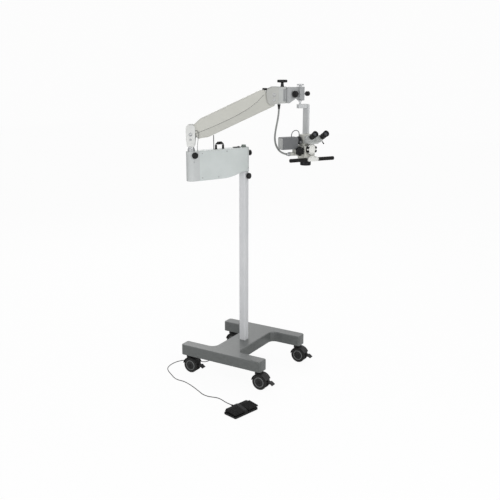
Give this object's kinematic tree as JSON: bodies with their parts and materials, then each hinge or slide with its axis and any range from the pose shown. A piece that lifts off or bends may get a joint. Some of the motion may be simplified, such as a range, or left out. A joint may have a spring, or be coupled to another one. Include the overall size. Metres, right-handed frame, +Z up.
{
  "type": "surgical microscope on floor stand",
  "caption": "Floor-standing operating microscope: wheeled base, column, swing housing, spring-balanced arm, binocular head with handlebar, camera and foot switch on a cord",
  "frame": {"origin": "on the floor, on the column's axis", "axes": "+Z up, +X along the long beams of the base and so toward the side that the microscope reaches over, +Y along the web between the beams"},
  "size_m": [1.063, 1.0106, 1.9026],
  "materials": {
    "base": "hammered grey paint",
    "column": "satin white powder coat",
    "knob": "black moulded",
    "gland": "black moulded",
    "switch_housing": "black moulded",
    "pedal": "ribbed black",
    "cord": "smooth black",
    "end_block": "satin grey paint",
    "cover": "satin off-white paint",
    "core": "laminated core and windings",
    "dial": "grey green",
    "post": "brushed",
    "yoke": "satin white paint",
    "pins": "ground",
    "lead": "smooth grey",
    "beam": "drawn",
    "arm_shell": "light grey moulded",
    "arm_cover": "light grey moulded",
    "spring": "spring steel",
    "head": "satin light grey paint",
    "carrier": "satin grey paint",
    "steel": "brushed",
    "bracket": "satin grey paint",
    "optics": "satin light grey paint",
    "drum": "white moulded, dark pads",
    "black_metal": "black anodised, knurled",
    "lens": "coated",
    "camera": "dark grey",
    "binocular": "satin grey paint",
    "eyepiece": "black",
    "bar": "white paint",
    "grip": "ribbed black",
    "guide": "grey sheath",
    "castor": "black moulded",
    "wheel": "black tread, grey ring"
  },
  "bodies": {
    "stand": {"base_casting": "base", "column_tube": "column", "cord_gland": "gland", "pedal_housing": "switch_housing", "pedal_cord": "cord"},
    "column_clamp": {"column_clamp_knob": "knob"},
    "pedal_left": {"pedal_left": "pedal"},
    "pedal_right": {"pedal_right": "pedal"},
    "swing": {"swing_frame": "end_block", "swing_housing": "cover", "power_supply": "core", "carry_handle": "knob"},
    "power_switch": {"power_switch": "knob"},
    "brightness_knob": {"brightness_knob": "dial"},
    "post_brake": {"post_brake_knob": "knob"},
    "swing_brake": {"swing_brake_knob": "knob"},
    "post": {"post_tube": "post", "arm_yoke": "yoke", "rear_pivot_pins": "pins", "arm_leads": "lead"},
    "arm": {"arm_beam": "beam", "arm_casing": "arm_shell", "arm_cover": "arm_cover", "balance_spring": "spring"},
    "rod": {"parallel_rod": "beam"},
    "head": {"arm_head": "head", "front_pivot_pins": "pins"},
    "carrier": {"carrier_arm": "carrier"},
    "t_knob": {"t_knob": "knob"},
    "block_clamp_left": {"block_knob_left": "knob"},
    "block_clamp_right": {"block_knob_right": "knob"},
    "bracket": {"hanging_pin": "steel", "scope_bracket": "bracket", "light_guide": "guide"},
    "optics": {"optics_body": "optics", "beam_splitter": "optics", "camera_module": "camera", "objective_lens": "lens", "binocular_housing": "binocular", "handlebar": "bar", "grips": "grip"},
    "star_knob": {"star_knob": "knob"},
    "drum": {"mag_drum": "drum"},
    "objective": {"objective_ring": "black_metal"},
    "tube_left": {"tube_left": "binocular"},
    "tube_right": {"tube_right": "binocular"},
    "eyepiece_left": {"eyepiece_left": "eyepiece"},
    "eyepiece_right": {"eyepiece_right": "eyepiece"},
    "castor_front_left": {"castor_hood_front_left": "castor"},
    "wheels_front_left": {"castor_wheels_front_left": "wheel"},
    "brake_front_left": {"castor_brake_front_left": "castor"},
    "castor_front_right": {"castor_hood_front_right": "castor"},
    "wheels_front_right": {"castor_wheels_front_right": "wheel"},
    "brake_front_right": {"castor_brake_front_right": "castor"},
    "castor_rear_left": {"castor_hood_rear_left": "castor"},
    "wheels_rear_left": {"castor_wheels_rear_left": "wheel"},
    "brake_rear_left": {"castor_brake_rear_left": "castor"},
    "castor_rear_right": {"castor_hood_rear_right": "castor"},
    "wheels_rear_right": {"castor_wheels_rear_right": "wheel"},
    "brake_rear_right": {"castor_brake_rear_right": "castor"}
  },
  "joints": [
    {"name": "swivel_front_left", "type": "hinge", "parent": "stand", "child": "castor_front_left", "pos_m": [-0.2635, -0.2635, 0.122], "axis": [0, 0, 1], "continuous": true},
    {"name": "roll_front_left", "type": "hinge", "parent": "castor_front_left", "child": "wheels_front_left", "pos_m": [-0.2395, -0.2635, 0.05], "axis": [0, 1, 0], "continuous": true},
    {"name": "brake_front_left", "type": "hinge", "parent": "castor_front_left", "child": "brake_front_left", "pos_m": [-0.1835, -0.2635, 0.054], "axis": [0, 1, 0], "range_deg": [0, 20]},
    {"name": "swivel_front_right", "type": "hinge", "parent": "stand", "child": "castor_front_right", "pos_m": [0.2635, -0.2635, 0.122], "axis": [0, 0, 1], "continuous": true},
    {"name": "roll_front_right", "type": "hinge", "parent": "castor_front_right", "child": "wheels_front_right", "pos_m": [0.2875, -0.2635, 0.05], "axis": [0, 1, 0], "continuous": true},
    {"name": "brake_front_right", "type": "hinge", "parent": "castor_front_right", "child": "brake_front_right", "pos_m": [0.3435, -0.2635, 0.054], "axis": [0, 1, 0], "range_deg": [0, 20]},
    {"name": "swivel_rear_left", "type": "hinge", "parent": "stand", "child": "castor_rear_left", "pos_m": [-0.2635, 0.2635, 0.122], "axis": [0, 0, 1], "continuous": true},
    {"name": "roll_rear_left", "type": "hinge", "parent": "castor_rear_left", "child": "wheels_rear_left", "pos_m": [-0.2395, 0.2635, 0.05], "axis": [0, 1, 0], "continuous": true},
    {"name": "brake_rear_left", "type": "hinge", "parent": "castor_rear_left", "child": "brake_rear_left", "pos_m": [-0.1835, 0.2635, 0.054], "axis": [0, 1, 0], "range_deg": [0, 20]},
    {"name": "swivel_rear_right", "type": "hinge", "parent": "stand", "child": "castor_rear_right", "pos_m": [0.2635, 0.2635, 0.122], "axis": [0, 0, 1], "continuous": true},
    {"name": "roll_rear_right", "type": "hinge", "parent": "castor_rear_right", "child": "wheels_rear_right", "pos_m": [0.2875, 0.2635, 0.05], "axis": [0, 1, 0], "continuous": true},
    {"name": "brake_rear_right", "type": "hinge", "parent": "castor_rear_right", "child": "brake_rear_right", "pos_m": [0.3435, 0.2635, 0.054], "axis": [0, 1, 0], "range_deg": [0, 20]},
    {"name": "column_clamp_turn", "type": "hinge", "parent": "stand", "child": "column_clamp", "pos_m": [0.023, 0, 1.3], "axis": [1, 0, 0], "range_deg": [-180, 180]},
    {"name": "pedal_press_left", "type": "hinge", "parent": "stand", "child": "pedal_left", "pos_m": [0.31407, -0.59529, 0.022], "axis": [0.2419, 0.9703, 0], "range_deg": [0, 4], "stiffness_Nm_per_rad": 2.5, "springref_deg": -11.46},
    {"name": "pedal_press_right", "type": "hinge", "parent": "stand", "child": "pedal_right", "pos_m": [0.31407, -0.59529, 0.022], "axis": [0.2419, 0.9703, 0], "range_deg": [0, 4], "stiffness_Nm_per_rad": 2.5, "springref_deg": -11.46},
    {"name": "swing_turn", "type": "hinge", "parent": "stand", "child": "swing", "pos_m": [0, 0, 1.326], "axis": [0, 0, 1], "range_deg": [-150, 150]},
    {"name": "power_switch_rock", "type": "hinge", "parent": "swing", "child": "power_switch", "pos_m": [-0.02242, -0.05132, 1.4838], "axis": [0.9164, -0.4003, 0], "range_deg": [-14, 0]},
    {"name": "brightness_turn", "type": "hinge", "parent": "swing", "child": "brightness_knob", "pos_m": [-0.0008, -0.00183, 1.482], "axis": [0, 0, 1], "range_deg": [-270, 0]},
    {"name": "post_brake_turn", "type": "hinge", "parent": "swing", "child": "post_brake", "pos_m": [-0.12601, -0.36836, 1.459], "axis": [0.9164, -0.4003, 0], "range_deg": [-180, 180]},
    {"name": "swing_brake_turn", "type": "hinge", "parent": "swing", "child": "swing_brake", "pos_m": [0.01281, 0.02932, 1.443], "axis": [0.4003, 0.9164, 0], "range_deg": [-180, 180]},
    {"name": "post_turn", "type": "hinge", "parent": "swing", "child": "post", "pos_m": [-0.15534, -0.35555, 1.482], "axis": [0, 0, 1], "range_deg": [-140, 10]},
    {"name": "arm_pitch", "type": "hinge", "parent": "post", "child": "arm", "pos_m": [-0.15534, -0.35555, 1.585], "axis": [0.521, -0.8536, 0], "range_deg": [-40, 15], "deforming": ["arm_leads"]},
    {"name": "rod_pitch", "type": "hinge", "parent": "post", "child": "rod", "pos_m": [-0.15534, -0.35555, 1.555], "axis": [0.521, -0.8536, 0], "range_deg": [-40, 15]},
    {"name": "head_level", "type": "hinge", "parent": "arm", "child": "head", "pos_m": [0.26859, -0.09679, 1.81659], "axis": [0.521, -0.8536, 0], "range_deg": [-15, 40]},
    {"name": "carrier_turn", "type": "hinge", "parent": "head", "child": "carrier", "pos_m": [0.30956, -0.07178, 1.8626], "axis": [0, 0, 1], "range_deg": [-45, 45], "deforming": ["light_guide"]},
    {"name": "t_knob_turn", "type": "hinge", "parent": "carrier", "child": "t_knob", "pos_m": [0.30956, -0.07178, 1.8626], "axis": [0, 0, 1], "range_deg": [-180, 180]},
    {"name": "block_clamp_turn_left", "type": "hinge", "parent": "carrier", "child": "block_clamp_left", "pos_m": [0.3961, -0.03442, 1.82059], "axis": [-0.2521, -0.9677, 0], "range_deg": [-180, 180]},
    {"name": "block_clamp_turn_right", "type": "hinge", "parent": "carrier", "child": "block_clamp_right", "pos_m": [0.40568, 0.00236, 1.82059], "axis": [0.2521, 0.9677, 0], "range_deg": [-180, 180]},
    {"name": "scope_turn", "type": "hinge", "parent": "carrier", "child": "bracket", "pos_m": [0.40089, -0.01603, 1.78259], "axis": [0, 0, 1], "range_deg": [-90, 90]},
    {"name": "scope_tilt", "type": "hinge", "parent": "bracket", "child": "optics", "pos_m": [0.47813, -0.01071, 1.5], "axis": [0.524, 0.8517, 0], "range_deg": [-30, 60]},
    {"name": "star_knob_turn", "type": "hinge", "parent": "optics", "child": "star_knob", "pos_m": [0.45574, -0.12726, 1.497], "axis": [0.8517, -0.524, 0], "range_deg": [-180, 180]},
    {"name": "drum_turn", "type": "hinge", "parent": "optics", "child": "drum", "pos_m": [0.50735, -0.08153, 1.507], "axis": [0.8517, -0.524, 0], "continuous": true},
    {"name": "objective_turn", "type": "hinge", "parent": "optics", "child": "objective", "pos_m": [0.46477, -0.05533, 1.438], "axis": [0, 0, 1], "range_deg": [-160, 160]},
    {"name": "tube_swing_right", "type": "hinge", "parent": "optics", "child": "tube_right", "pos_m": [0.54191, -0.08635, 1.56408], "axis": [0.752, -0.4627, 0.4695], "range_deg": [0, 50]},
    {"name": "eyepiece_turn_right", "type": "hinge", "parent": "tube_right", "child": "eyepiece_right", "pos_m": [0.60484, -0.09865, 1.596], "axis": [0.752, -0.4627, 0.4695], "range_deg": [-160, 160]},
    {"name": "tube_swing_left", "type": "hinge", "parent": "optics", "child": "tube_left", "pos_m": [0.52724, -0.1102, 1.56408], "axis": [0.752, -0.4627, 0.4695], "range_deg": [-50, 0]},
    {"name": "eyepiece_turn_left", "type": "hinge", "parent": "tube_left", "child": "eyepiece_left", "pos_m": [0.56659, -0.16082, 1.596], "axis": [0.752, -0.4627, 0.4695], "range_deg": [-160, 160]}
  ],
  "couplings": [
    {"joint": "rod_pitch", "follows": "arm_pitch", "ratio": 1},
    {"joint": "head_level", "follows": "arm_pitch", "ratio": -1},
    {"joint": "tube_swing_left", "follows": "tube_swing_right", "ratio": -1}
  ]
}
